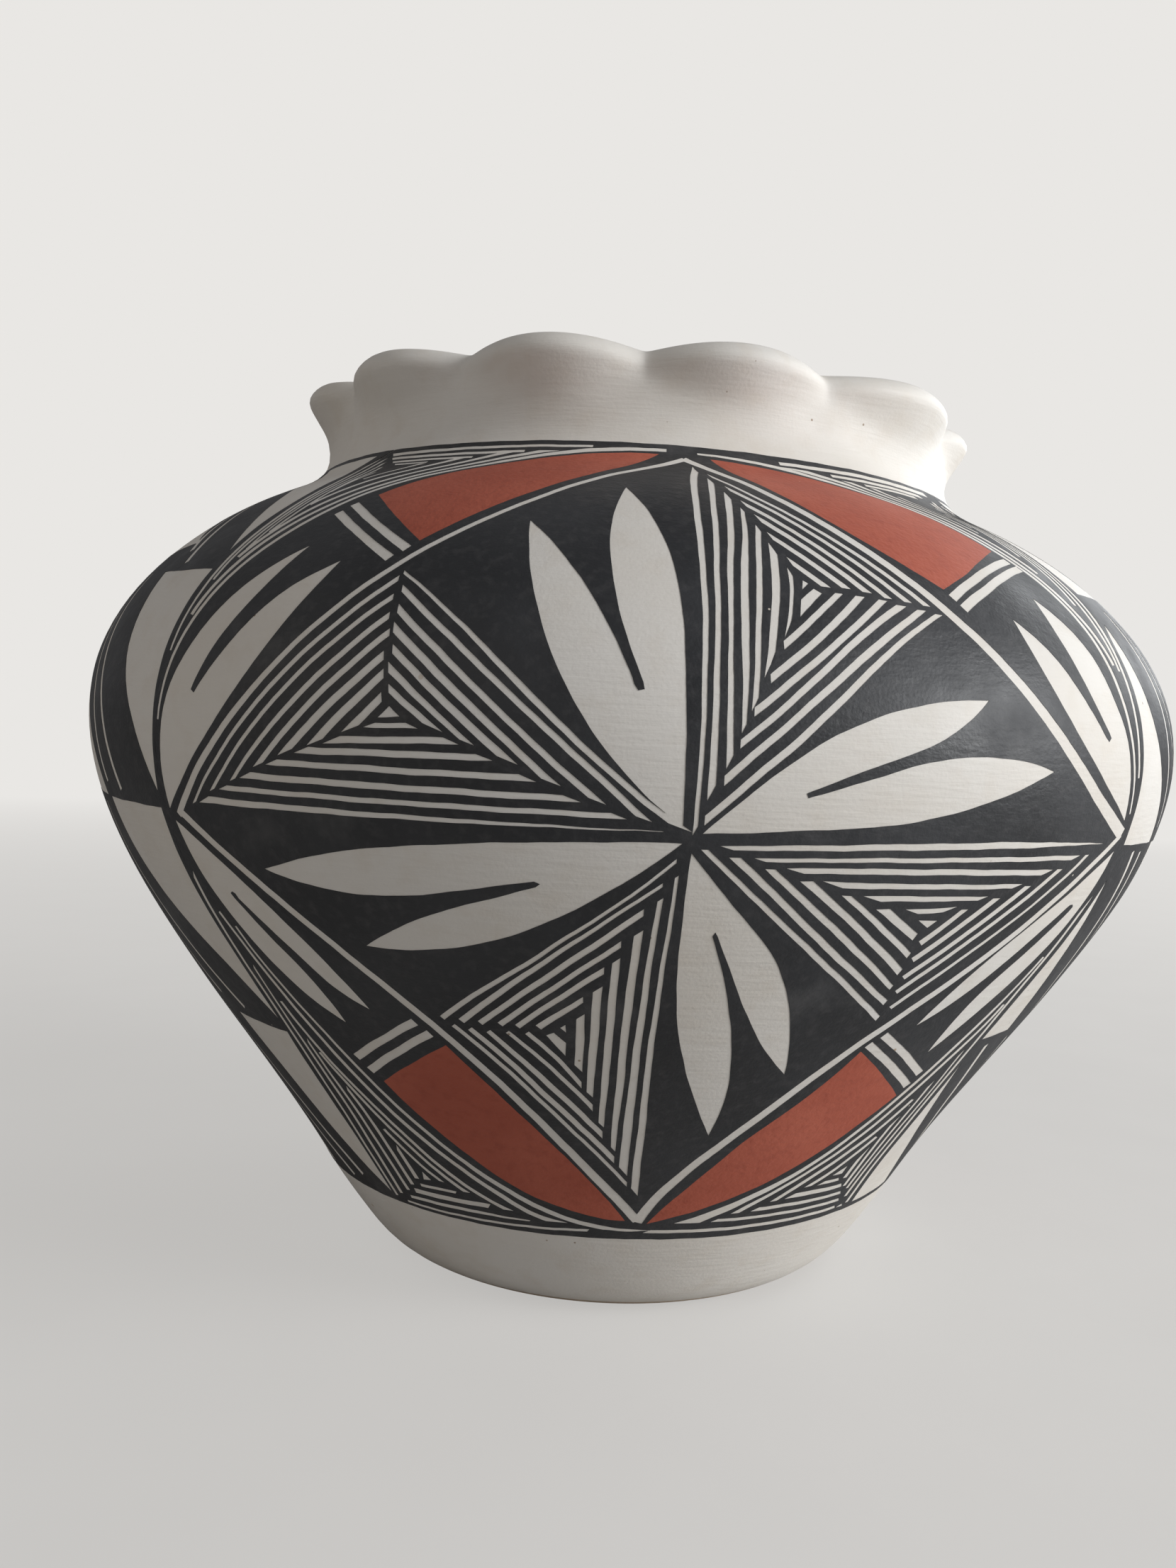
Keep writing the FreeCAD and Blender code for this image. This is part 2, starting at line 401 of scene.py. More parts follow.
slip_edge = 10.0
slip_turn_step, slip_rise_step, slip_under_step = 1.0, 2.0, 4.0

white_slip, tree, shader = finish("white slip", 0.6, 0.35)
here = places(tree)
white = mixed(tree, ramp(tree, cloud(tree, here, 45), 0.3, 0.7),
              colour(232, 229, 224), colour(226, 220, 211))
white = mixed(tree, ramp(tree, cloud(tree, here, 5, 5), 0.5, 0.8, 0, 0.35), white, colour(214, 203, 188))
white = mixed(tree, specks(tree, here, 5.0, 0.5, 0.25), white, colour(168, 150, 132))
white = mixed(tree, specks(tree, here, 9.0, 0.9, 0.12), white, colour(190, 170, 146))
tree.links.new(white, shader.inputs["Base Color"])
strokes = cloud(tree, places(tree, 9.0), 7.0, 4.0)
grit = cloud(tree, here, 0.55, 3.0)
rough_skin(tree, shader, join(tree, "ADD", strokes, ramp(tree, grit, 0, 1, 0, 0.35)), 0.1)
tree.links.new(ramp(tree, cloud(tree, here, 9, 4), 0.3, 0.7, 0.5, 0.68), shader.inputs["Roughness"])

slip_turns = np.arange(0, 360, slip_turn_step)[:, None]
slip_up = steps_between(slip_edge, waist, slip_rise_step)[None]
slip_down = steps_between(waist, slip_edge, slip_under_step)[None]
slip_sections = np.concatenate([wall(slip_turns, slip_up), wall(slip_turns, slip_down, slip_thickness)], 1)
slip_skin = outward(wall, slip_turns, slip_up)
body_slip = ring_of("white_slip_coat", slip_sections, white_slip, "body_slip", slip_skin)

lip_skin = outward(lip, rim_turns, lip_along)
lip_skin[:, 0] = outward(wall, rim_turns, np.array([[waist]]))[:, 0]
lip_sections = np.concatenate([lip(rim_turns, lip_along), inner_waist, rim_clay[:, ::-1], outer_waist], 1)
rim_slip = ring_of("lip_slip_coat", lip_sections, white_slip, "rim_slip", lip_skin)


# The painted pattern
# The potter divides the jar into three large panels and three narrow columns and paints them freehand with
# a chewed yucca brush. Places here are degrees round the jar and mm along its curve from the base.

brush_step = 1.0
band_foot, band_top, band_places = 32.0, 198.7, 60
# the curve itself is a little longer than the steps from point to point that the outline counts
curve_places = 2000
outline_rises = np.linspace(0, waist, curve_places)
curve_steps = np.diff(wall_at(outline_rises), axis=0)
curve_lengths = np.r_[0, np.cumsum(np.hypot(curve_steps[:, 0], curve_steps[:, 1]))]


def outline_rise(length):
    """The wall's own measure along its outline, from mm along the curve."""
    return np.interp(length, curve_lengths, outline_rises)


def mm_per_degree(length):
    """How long a degree round the jar is there."""
    return wall_at(outline_rise(length))[..., 0] * math.pi / 180


def pull(points):
    """A smooth pull of the brush through points, cut into short steps."""
    spots = np.array(points, float)
    scale = mm_per_degree(spots[:, 1].mean())
    knots = np.r_[0, np.cumsum(np.hypot(np.diff(spots[:, 0]) * scale, np.diff(spots[:, 1])))]
    knots, at = smooth_line(spots, knots)
    return at(steps_between(0, knots[-1], brush_step))


def shape(*edges):
    """A closed shape. Each edge is a smooth pull that starts where the one before it ends."""
    return np.concatenate([pull([edges[i - 1][-1], *edge])[:-1] for i, edge in enumerate(edges)])


def stroke(points, *widths, cuts=(None, None)):
    """A line drawn in one pull, with its widths in mm from its start to its end. Where an end stops
    against other lines, its cut is the way they run, in degrees and mm."""
    middle = pull(points)
    scale = mm_per_degree(middle[:, 1])
    size = np.stack([scale, np.ones_like(scale)], 1)
    way = np.gradient(middle, axis=0) * size
    way /= np.linalg.norm(way, axis=1)[:, None]
    side = np.stack([-way[:, 1], way[:, 0]], 1)
    for end, cut in zip((0, -1), cuts):
        if cut:
            slant = np.array(cut) * size[end]
            side[end] = slant / (slant @ side[end])
    half = np.interp(np.linspace(0, 1, len(middle)), np.linspace(0, 1, len(widths)), widths) / 2
    side *= half[:, None] / size
    return np.concatenate([middle + side, (middle - side)[::-1]])


def family(cuts, *lines):
    """Lines side by side that stop against the same neighbours. Each has its widths and then its points."""
    return [stroke(points, *widths, cuts=cuts) for widths, *points in lines]


# where a panel ends and a column starts, in the middle of the black line between them
left_edge = [(-38.6, 33), (-39.6, 40), (-40.3, 50), (-40.6, 60), (-40.9, 73), (-41.7, 84), (-42.4, 92),
             (-42.9, 98), (-43.2, 105), (-43.1, 118), (-42.7, 124), (-42.2, 136), (-41.9, 144),
             (-41.2, 157), (-40.8, 166), (-40.7, 178), (-41.7, 185), (-43.7, 190), (-44.6, 194),
             (-43.4, 196.4), (-41.8, 198)]
right_edge = [(46.2, 33), (46.6, 40), (46.9, 50), (46.7, 60), (46.5, 75), (46.6, 80), (47.6, 90),
              (48.7, 100), (49.9, 110), (50.2, 118), (50.3, 130), (49.9, 140), (50.1, 148), (51.3, 158),
              (51.4, 170), (51.3, 180), (52.4, 190), (54.6, 196), (55.6, 198)]
edge_rises = steps_between(band_foot, band_top, brush_step)


def edge_places(edge, shift=0.0):
    """Places along an edge in even steps, moved round the jar by a shift."""
    turns, rises = np.array(edge, float).T
    return np.stack([np.interp(edge_rises, rises, turns) + shift, edge_rises], 1)


def band(left, right):
    """The part of the painted band between two edges."""
    top = np.linspace(left[-1], right[-1], band_places)[1:-1]
    foot = np.linspace(right[0], left[0], band_places)[1:-1]
    return np.concatenate([right, top[::-1], left[::-1], foot[::-1]])


# The large panel: a diamond drawn in a white line, with a star of four pairs of leaves in it and a pair of
# leaves beside each of its sides. The black between two leaves ends in a blunt tip, as the brush left it.
panel_white = [
    stroke([(6.57, 194.8), (-2.9, 184.1), (-9.8, 173.2), (-20, 155.2), (-30, 135.5), (-36, 124.6),
           (-41, 115.5)], 1.2, 1.0, 1.0, 1.3),
    stroke([(6.4, 194.9), (10, 190.5), (15.7, 178.2), (22.9, 161.7), (32.8, 140.8), (42.4, 125.4),
           (49.3, 118.8)], 1.5, 1.7, 2.3),
    stroke([(49.2, 118.9), (45.1, 113.2), (36.7, 98.8), (26.7, 81.8), (20, 68.9), (16.4, 61.7),
           (13, 55.2), (10, 49.4), (7.6, 44.4), (4.6, 36.5)], 1.4, 1.8),
    stroke([(-40.6, 116.1), (-34, 107.5), (-28.9, 100), (-19, 83.3), (-10, 65.3), (-2.2, 49.1),
           (4.7, 36.9)], 1.5, 1.4, 1.7),
    shape([(-0.25, 127.1), (-5, 140.1), (-7.5, 152.3), (-9.3, 166.9)],
          [(-5, 157.4), (-1.6, 147), (0.35, 139.2)],
          [(0.6, 138), (0.95, 137.4), (1.22, 137.6), (1.15, 138.7)],
          [(-0.5, 147.2), (-1.7, 158.8), (-1.9, 168), (-0.83, 178.8)],
          [(1.66, 169.6), (3.9, 151), (4.25, 135), (4.45, 119.4)]),
    shape([(10, 125.7), (15, 132.5), (20, 136.5), (28.6, 139)],
          [(23.5, 132.3), (19, 129.1), (15, 126.1), (13.7, 125.1)],
          [(13.3, 124.7), (13.4, 124.2), (13.9, 124.4)],
          [(17.2, 126.3), (22.9, 129.6), (28, 130.8), (35.7, 129.1)],
          [(29, 124.2), (22.2, 121), (15, 119.6), (5.9, 118.5)]),
    shape([(9.2, 107), (13, 99.1), (16, 89), (18.3, 74.1)],
          [(14.5, 81.1), (11.3, 90.2), (9.2, 97.9), (8.1, 102.2)],
          [(8, 102.9), (7.7, 102.9), (7.65, 102.2)],
          [(8.8, 96.8), (11.2, 83.1), (12.5, 68.2), (11.9, 59.5)],
          [(8.8, 69.6), (6.1, 83.3), (5.1, 99.8), (5.25, 115.6)]),
    shape([(-5, 116.3), (-14, 114.9), (-24, 112), (-31.2, 108.2)],
          [(-24, 105.9), (-16, 106.6), (-10, 108.9), (-6.5, 110.1)],
          [(-6.1, 110), (-6.05, 109.5), (-6.4, 109.2)],
          [(-9.8, 107.1), (-15, 103.7), (-22.5, 96.4)],
          [(-16, 97), (-9.8, 100), (-2.5, 107), (4.5, 117)]),
    shape([(-41.9, 126.4), (-40.4, 136), (-38, 144), (-34.8, 152.3), (-30, 160.5)],
          [(-32.7, 150.2), (-35.1, 142.6), (-37.1, 136)],
          [(-37.3, 135.1), (-36.9, 134.7), (-36.6, 135.4)],
          [(-34.2, 140.8), (-30, 150.3), (-25.3, 156.9)],
          [(-28.1, 145.8), (-32.7, 133.6), (-38, 123.5), (-42.3, 116.3)]),
    shape([(-36, 107.2), (-32, 100.4), (-28, 91.6), (-25, 83)],
          [(-28, 86), (-32, 93.4), (-36.5, 101.8)],
          [(-36.9, 102.9), (-37.3, 102.8), (-37.1, 101.8)],
          [(-34.3, 95.2), (-31.2, 87.6), (-29.1, 78.9)],
          [(-33.3, 84), (-38, 94.6), (-40.8, 105.2), (-41.9, 114.6)]),
    shape([(48.2, 127.1), (46.9, 135), (45.2, 141.5), (44.1, 147.3), (42.9, 151.6), (39.5, 158.6)],
          [(40, 147.6), (41.1, 142), (43.5, 135.4)],
          [(43.8, 134.6), (43.5, 134), (43, 134.6)],
          [(40.2, 140.6), (37, 148.4), (34.2, 153.2)],
          [(35.5, 144), (39, 134.4), (43.9, 126.8), (48.8, 121.2)]),
    shape([(42, 106.3), (37.4, 98.4), (33.6, 89), (31.9, 83.1)],
          [(37.4, 91.2), (41.6, 99.8), (44.7, 105.8)],
          [(45.2, 106.4), (45.75, 106.1), (45.5, 105)],
          [(42.9, 98.9), (38.6, 88.6), (36.7, 75.9)],
          [(41.3, 85.4), (45.1, 95.5), (47.7, 105.6), (49, 116)]),
]
# two short bars between each red field and the leaves
for bar in (
    [(-20, 81.7), (-30.3, 70.7)],
    [(-18.7, 79.6), (-29.2, 68)],
    [(28.2, 81.7), (38.2, 70.4)],
    [(26.9, 79.7), (37.5, 67.5)],
    [(-19.4, 159.3), (-29.6, 172)],
    [(-20.6, 157.3), (-30.5, 169.4)],
    [(28.1, 156), (33.2, 161.7), (37.5, 165.6), (41.7, 168.5)],
    [(28.8, 154.1), (34.2, 160), (38.5, 163.9), (42.6, 166.7)],
):
    panel_white.append(stroke(bar, 1.5, 1.4, 1.5))

# Four nested triangles in the diamond, each of three families of lines that stop against each other
left_way, middle_way, right_way = (20.9, 15), (1.5, -21), (-21.4, 14.4)
panel_white += family(
    (left_way, middle_way),
    ((0.5, 0.8, 0.9), (-38.1, 117.9), (-30, 132.6), (-18.9, 153.5)),
    ((0.6, 0.9), (-35.2, 120.2), (-27, 135.3), (-18.8, 150.1)),
    ((0.6, 0.9, 1.0), (-32.5, 122.1), (-18.6, 147)),
    ((0.9, 1.0), (-29.4, 124.6), (-18.2, 144.4)),
    ((1.1, 1.2), (-26.6, 126.7), (-18.3, 140.9)),
    ((1.2, 1.1), (-23.7, 128.4), (-18.1, 138.3)),
    ((1.2, 1.1), (-20.6, 130.5), (-18.1, 135.1)),
)
panel_white += family(
    (middle_way, right_way),
    ((0.5, 0.9, 0.9), (-18.7, 154.6), (-12, 145), (-7, 136.5), (2, 122.2), (4.3, 119.2)),
    ((0.9, 0.9), (-18.3, 151.6), (-13.5, 144.3), (1.6, 120.2)),
    ((1.0, 0.9), (-18.1, 148.2), (-1.8, 122.4)),
    ((1.1, 1.0), (-18, 145.2), (-5.1, 124.7)),
    ((1.0, 1.1), (-17.7, 141.9), (-8.3, 127.3)),
    ((1.1, 0.7), (-17.8, 139.2), (-11.3, 129.5)),
    ((0.9, 0.9), (-17.6, 136.3), (-13.9, 131.2)),
)
panel_white += family(
    (left_way, right_way),
    ((1.1, 0.9, 0.6, 0.1), (-36.6, 118.6), (-15, 118.6), (3.05, 118.55)),
    ((0.8, 0.8), (-33.8, 120.8), (-0.2, 120.5)),
    ((1.0, 0.9), (-31, 122.95), (-3.6, 122.6)),
    ((0.9, 0.9), (-28, 125.2), (-6.8, 125.1)),
    ((1.0, 0.9), (-25, 127.2), (-10, 127.6)),
    ((1.0, 0.9), (-22.2, 128.9), (-12.5, 129.6)),
    ((0.7, 0.7), (-19, 131.2), (-15.5, 131.3)),
)
panel_white.append(shape([(-16.5, 132.5)], [(-17.4, 133.9)], [(-18.3, 132.3)]))
panel_white += family(
    ((5.5, -34), (8.4, 34)),
    ((1.2, 0.9, 0.6), (7.6, 190.6), (6.8, 184.6), (5.9, 166), (5.68, 150), (5.5, 135), (5.33, 118.8)),
    ((1.0, 0.9, 0.8, 1.1), (8.76, 184.9), (8, 176.1), (7.3, 165), (6.65, 150), (6.4, 138.5),
     (6.3, 124.2)),
    ((1.1, 1.0, 0.7, 1.0), (9.8, 178.4), (9.3, 172.7), (8.4, 162.6), (7.65, 150), (7.4, 138.5),
     (7.5, 128.6)),
    ((0.6, 1.1, 1.2, 0.6), (10.7, 173.6), (10, 166), (9.2, 157.6), (8.75, 150), (8.5, 140.2), (8.4, 133)),
    ((0.9, 0.9, 0.8), (11.5, 168.2), (10.7, 161), (9.85, 150), (9.15, 136.4)),
    ((1.2, 1.2, 1.0), (12.2, 163.1), (11.6, 155.9), (11.1, 150), (10.3, 142)),
    ((0.7, 0.6, 0.5), (13.05, 158.2), (12.3, 150), (11.95, 147.6)),
)
panel_white += family(
    ((5.5, -34), (-12, 1.6)),
    ((0.8, 0.9, 1.0), (8.9, 187.8), (13.6, 177.1), (19, 166), (24.9, 153.7)),
    ((1.0, 1.0), (10.1, 181.5), (15, 171.3), (23.1, 154.1)),
    ((1.0, 1.0), (11.05, 175.8), (21.3, 154.5)),
    ((1.1, 1.1), (11.8, 171.1), (19.5, 155.2)),
    ((1.0, 1.1), (12.3, 166.3), (17.7, 155.6)),
    ((1.0, 1.1), (13.3, 160.5), (15.9, 155.6)),
)
panel_white += family(
    ((-12, 1.6), (0, 1)),
    ((0.7, 1.0, 1.1, 1.0), (25.8, 152.4), (22.7, 148.8), (18.3, 142.3), (13, 132.8), (9, 125.9),
     (5.95, 120.3)),
    ((1.0, 1.1, 1.0, 1.1), (24.2, 152.9), (18.5, 145.2), (13, 136.2), (9, 129.3), (7.15, 126)),
    ((1.1, 1.0, 0.9), (22.3, 153.4), (17, 146), (13, 139.1), (8.2, 131)),
    ((1.0, 1.0), (20.7, 154.1), (13, 141.6), (9.1, 135.4)),
    ((1.1, 1.0), (18.7, 154.4), (13, 144.4), (10.3, 140.1)),
    ((0.9, 1.0), (16.9, 154.6), (11.5, 145.1)),
)
panel_white.append(shape([(15.35, 154.3)], [(13.05, 149.8)], [(13.4, 152.8)], [(14.75, 155.1)]))
panel_white.append(shape([(14.4, 156)], [(13.7, 154.6)], [(13.95, 156.6)]))
panel_white += family(
    ((20.8, -12), (-19.2, -12.5)),
    ((0.7, 1.0, 1.1, 0.1), (7.8, 116.5), (20, 117.2), (36, 117.7), (45.8, 117.5)),
    ((0.6, 0.8, 0.8), (10.4, 114.9), (24, 115.3), (41.9, 115.3)),
    ((0.9, 1.0, 1.0), (13.3, 113.4), (26, 113.4), (38.4, 112.9)),
    ((1.0, 0.9, 0.8), (16.6, 111.3), (35.1, 110.7)),
    ((1.0, 0.9, 0.7), (20.3, 109.1), (31.6, 108.8)),
    ((0.9, 0.8), (24.5, 106.8), (28.4, 107)),
)
panel_white += family(
    ((1, 0), (0.2, 1)),
    ((0.7, 1.0, 1.0), (6.2, 116.2), (10.9, 108.2), (13.8, 103.6), (18, 97.3), (26.2, 85.7)),
    ((1.1, 1.1, 1.0), (8.5, 115.1), (12, 109.5), (15.5, 103.9), (26.1, 89.1)),
    ((1.0, 1.1, 0.9), (11.3, 113.6), (18, 103.5), (25.9, 92.3)),
    ((1.2, 1.1, 1.2), (14.4, 111.8), (26, 95.4)),
    ((0.9, 1.0), (18, 109.6), (26.1, 98.6)),
    ((1.3, 1.3), (21.6, 107.3), (25.9, 102.1)),
)
panel_white += family(
    (None, (1, 0)),
    ((0.9, 0.8, 0.7, 0.9), (27, 87.9), (32, 96.4), (37.2, 104.9), (43.7, 115.7)),
    ((1.0, 1.0), (26.7, 91.2), (33, 101.9), (40.1, 113.4)),
    ((1.1, 1.1), (26.7, 94.2), (36.5, 110.7)),
    ((1.2, 1.1), (26.75, 97.7), (33.2, 108.7)),
    ((1.2, 1.0), (26.7, 100.9), (30, 106.9)),
)
panel_white.append(shape([(27.5, 105.1)], [(26.75, 103.8)], [(25.5, 105.3)]))
panel_white += family(
    ((0, 1), None),
    ((0.5, 0.6, 0.8, 0.9), (4.2, 114.4), (0.06, 107.2), (-4.06, 101.1), (-8.1, 95.1), (-12.1, 89.9),
     (-16.8, 83.3)),
    ((0.5, 0.8, 1.1), (3.3, 110.5), (0.06, 105.6), (-4.06, 99.4), (-14.8, 83.2)),
    ((0.9, 1.0, 1.0), (2, 106), (-1.4, 100.6), (-12.9, 83.2)),
    ((0.9, 0.9, 1.0), (0.3, 100.4), (-10.9, 83.2)),
    ((1.0, 1.0), (-1, 95.5), (-9.2, 83.1)),
    ((0.9, 1.1), (-2.8, 89.6), (-7.1, 83.3)),
)
panel_white += family(
    ((1, 1.5), (1, -1.9)),
    ((0.5, 0.8, 1.1, 1.3), (4.3, 111.9), (4, 100), (3.7, 86), (3.7, 60), (3.72, 44.6)),
    ((0.7, 1.0, 1.3, 1.5), (3.2, 108.2), (2.75, 96.8), (2.3, 76), (2.05, 60), (1.95, 50)),
    ((1.2, 1.2, 1.2, 0.8), (1.7, 102.5), (1.2, 88), (0.9, 74), (0.45, 55.8)),
    ((1.1, 1.2, 0.9), (-0.03, 97.5), (-0.25, 88), (-0.66, 74), (-1, 61.8)),
    ((1.3, 1.3, 1.0), (-1.5, 91.8), (-2, 78), (-2.3, 69)),
    ((1.2, 1.3, 1.2), (-3.1, 86.2), (-3.4, 74.9)),
)
panel_white += family(
    (None, (0, 1)),
    ((0.9, 0.9, 0.7, 0.7), (-15.8, 82.1), (-12.5, 76.2), (-9.4, 70), (-4.06, 59.1), (-0.84, 53),
     (2.56, 46.6)),
    ((1.0, 1.1, 1.1), (-14.1, 81.8), (-10.8, 75.7), (-8, 69.8), (-4.06, 62), (0.7, 53)),
    ((0.9, 1.2, 1.1), (-12.2, 81.6), (-6.5, 70.4), (-0.85, 59.3)),
    ((0.8, 0.9), (-10.3, 81.8), (-6, 74.1), (-2, 65.9)),
    ((0.9, 0.8), (-8.3, 82), (-5.5, 76.7), (-3.15, 71.2)),
)
panel_white.append(shape([(-5.7, 82.4)], [(-4.57, 80.4)], [(-4.7, 77.5)], [(-6.45, 81.8)]))
panel_white.append(shape([(-4.55, 84.2)], [(-4.5, 82.6)], [(-5.05, 83.5)]))

# Striped corners outside the diamond: lines along the red field, the band's edge and the panel's edge
across, upright = (1, 0), (0, 1)
panel_white += family(
    (across, None),
    ((1.0, 1.2, 1.0, 0.8, 0.7), (3, 34.3), (-4, 35.8), (-10, 38.8), (-16, 43.6), (-22, 50.4),
     (-26, 56.6), (-30, 65.3), (-33.2, 74.4), (-36.4, 84), (-38.1, 90), (-39.4, 95.8)),
    ((1.1, 1.1, 0.8), (-7.7, 35.5), (-12, 37.4), (-16, 40.8), (-20, 44.8), (-26, 52.4), (-30, 60),
     (-34, 71.2), (-37.6, 84), (-39.5, 91.8), (-41.1, 98.2)),
    ((0.9, 1.0, 0.9), (-15.2, 37.1), (-18, 38.8), (-22, 42.2), (-26, 47.2), (-30, 54.4), (-34, 63.4),
     (-37, 73), (-38.6, 80.5)),
    ((0.9, 1.0, 0.9), (-21.7, 39.9), (-24, 42.1), (-28, 47.4), (-32, 55), (-34.6, 62), (-36.8, 69.6)),
    ((0.8, 0.9), (-25.8, 41.3), (-28.2, 44), (-31, 48.7), (-32.6, 52.4)),
)
panel_white += family(
    (upright, (-0.5, -1)),
    ((0.6, 0.7), (-35.8, 33), (-20, 33.2), (-2.8, 33.9)),
    ((0.8, 0.9, 0.4), (-34.4, 34.7), (-22, 35.1), (-12, 35)),
    ((1.2, 1.2), (-32.6, 36.8), (-25, 37.1), (-18.5, 37.3)),
    ((0.8, 0.7), (-30.6, 38.9), (-27, 39.1), (-23.8, 39.3)),
)
panel_white += family(
    (None, (0.3, 1)),
    ((0.8, 0.9), (-38, 33.6), (-39.2, 42), (-39.8, 52), (-40.1, 66), (-41.1, 84), (-42.3, 98),
     (-42.6, 105)),
    ((0.9, 0.9, 0.6), (-36.4, 34.7), (-37.5, 44), (-37.9, 54), (-38.7, 68), (-39.6, 80), (-40.1, 87.6)),
    ((0.9, 0.9, 0.7), (-34.2, 36.4), (-35.4, 44), (-36.2, 54), (-37.4, 66), (-37.9, 72)),
    ((1.0, 0.9), (-32.5, 38.3), (-33.5, 45), (-34.4, 54), (-35.6, 61.5)),
    ((1.1, 0.9), (-30.8, 40.4), (-32, 48)),
)
panel_white.append(shape([(-27.9, 41)], [(-29, 42.9)], [(-29.4, 40.7)]))
panel_white += family(
    (across, None),
    ((2.1, 1.5, 1.1, 1.1, 1.2, 1.1, 1.0), (12.5, 36.2), (16, 38.2), (22, 42.4), (26, 45.8), (30, 50.3),
     (34, 56.5), (38, 65.6), (41.7, 76.6), (44.6, 86), (46.6, 95.4)),
    ((1.0, 0.9, 1.1, 1.2, 1.1), (19.8, 38), (22, 39.9), (26, 43.5), (30, 47.7), (34, 52.8), (38, 60.4),
     (42, 72), (44.6, 80), (45.6, 85)),
    ((1.0, 1.2, 1.1), (25.8, 40.1), (30, 44.6), (34, 49.2), (38, 54.9), (41.3, 62.8)),
    ((1.0, 1.2), (31.2, 42.6), (36, 47.7), (39.5, 53.5)),
)
panel_white += family(
    ((1.5, 1), (-0.6, 1)),
    ((0.9, 0.9), (6.3, 34.1), (41.9, 33.8)),
    ((0.8, 0.9), (16.8, 36.5), (41.6, 35.9)),
    ((1.0, 0.9), (23.1, 38.5), (40.7, 38.1)),
    ((1.3, 1.1), (28.6, 40.8), (39.4, 40.5)),
    ((0.9, 0.9), (33.7, 42.8), (37.5, 42.8)),
    ((0.6, 0.7), (42.7, 33.6), (44, 33.6)),
)
panel_white += family(
    (None, (0.3, 1)),
    ((1.1, 1.1, 1.2), (45.1, 33.8), (45.75, 50), (45.65, 66), (46, 80), (47, 92), (48.7, 106)),
    ((1.0, 0.8), (43.1, 36.2), (43.7, 44), (44.2, 54), (44.3, 74)),
    ((0.9, 0.9), (41.8, 38.8), (42.3, 46), (42.8, 66.5)),
    ((1.0, 1.0), (40.4, 39.9), (41.2, 57.5)),
    ((1.1, 1.1), (38.9, 42.6), (39.3, 49.4)),
)
panel_white.append(shape([(37.4, 44.3)], [(37.5, 46.4)], [(35.2, 44.4)]))
panel_white += family(
    (None, None),
    ((0.8, 1.2, 1.3, 1.2, 1.1, 1.0, 0.6), (4.3, 197.1), (-3, 196.7), (-8, 195.7), (-14, 193.4),
     (-20, 189.2), (-26, 182.6), (-30, 176), (-34, 166), (-36.9, 157.6), (-39.1, 149), (-40.5, 142.2),
     (-41.5, 135.4), (-42, 130.4)),
)
panel_white += family(
    (across, None),
    ((1.0, 1.3, 1.2, 1.1), (-12, 195.8), (-17, 193.6), (-22, 190), (-27, 183.9), (-31, 177.2),
     (-34.8, 168.4), (-37.5, 160), (-39.3, 152.6), (-40.3, 147)),
    ((1.1, 1.3, 1.2), (-18.4, 195.2), (-22.6, 192.4), (-27.5, 187.2), (-31.5, 180.6), (-35, 172.8),
     (-37.4, 164.6), (-38.9, 158.4)),
    ((1.1, 1.3, 1.2), (-24.6, 193.9), (-28.6, 190.2), (-32.2, 185), (-35.2, 178.4), (-36.8, 173)),
    ((1.0, 1.0), (-30.2, 192.2), (-33, 189), (-35.4, 184)),
)
panel_white += family(
    (None, (-0.7, 1)),
    ((0.6, 0.9), (-6, 197.3), (-20, 197.2), (-39.6, 197.1)),
    ((0.8, 0.9), (-15.6, 195.6), (-26, 195.5), (-38.7, 195.7)),
    ((0.8, 0.9), (-23, 194), (-30, 194), (-37.4, 194.1)),
    ((0.7, 0.8), (-29.8, 192.6), (-35.9, 192.7)),
)
panel_white += family(
    (None, (1, 1.4)),
    ((0.6, 1.0, 1.0, 0.9), (-41.5, 141), (-41.1, 148), (-40.4, 158), (-39.8, 168), (-39.7, 178),
     (-40.6, 185), (-42.4, 190), (-43, 194), (-42, 196.4)),
    ((0.8, 0.9, 0.9), (-40.1, 153.6), (-39.6, 160), (-39, 168), (-38.8, 178), (-39.4, 185),
     (-40.8, 190.4), (-41.2, 193.6), (-40.6, 196)),
    ((0.7, 0.8), (-38.7, 160.4), (-38.2, 170), (-37.9, 179), (-38.4, 186), (-39.4, 191), (-39.5, 194.6)),
    ((0.9, 0.8), (-37.8, 164.6), (-37.2, 171), (-37, 179), (-37.4, 186), (-38.1, 192.2)),
    ((0.8, 0.8), (-36.8, 178), (-36.7, 184), (-36.7, 189)),
)
panel_white += family(
    (None, None),
    ((0.5, 1.1, 1.5, 1.5, 1.4, 1.1, 0.7), (8.6, 196.9), (15, 196.4), (20, 195.5), (25, 193.8),
     (28, 192.3), (32, 189), (36, 183.6), (40, 175.8), (42, 170.3), (44, 163.6), (45.2, 157.6),
     (46.1, 150), (47, 140.6), (48.4, 131.6), (49.6, 122.4)),
)
panel_white += family(
    (across, None),
    ((1.1, 1.5, 1.5, 1.3), (22.8, 195.9), (26, 195), (31, 192.4), (35, 188), (39, 181.4), (42.4, 173.2),
     (45, 164.2), (46.6, 155.4), (47.6, 147)),
    ((1.1, 1.6, 1.5), (31, 194.4), (34, 192.4), (37.4, 188.6), (40.8, 182.4), (43.8, 174.8), (46, 166.4)),
    ((1.1, 1.5, 1.3), (35.6, 193.6), (38.4, 190.6), (41.8, 185.2), (44.6, 178.6)),
    ((1.1, 1.2), (39.8, 192.2), (42.2, 188.8), (44.2, 184.4)),
)
panel_white += family(
    (None, (-0.5, 1)),
    ((0.9, 1.1), (20.8, 196.9), (28, 197.1), (36, 197.3), (53, 197.4)),
    ((0.9, 1.1), (29, 195.5), (38, 195.8), (49.6, 195.9)),
    ((0.8, 1.0), (34.6, 194.3), (40, 194.5), (46.8, 194.6)),
)
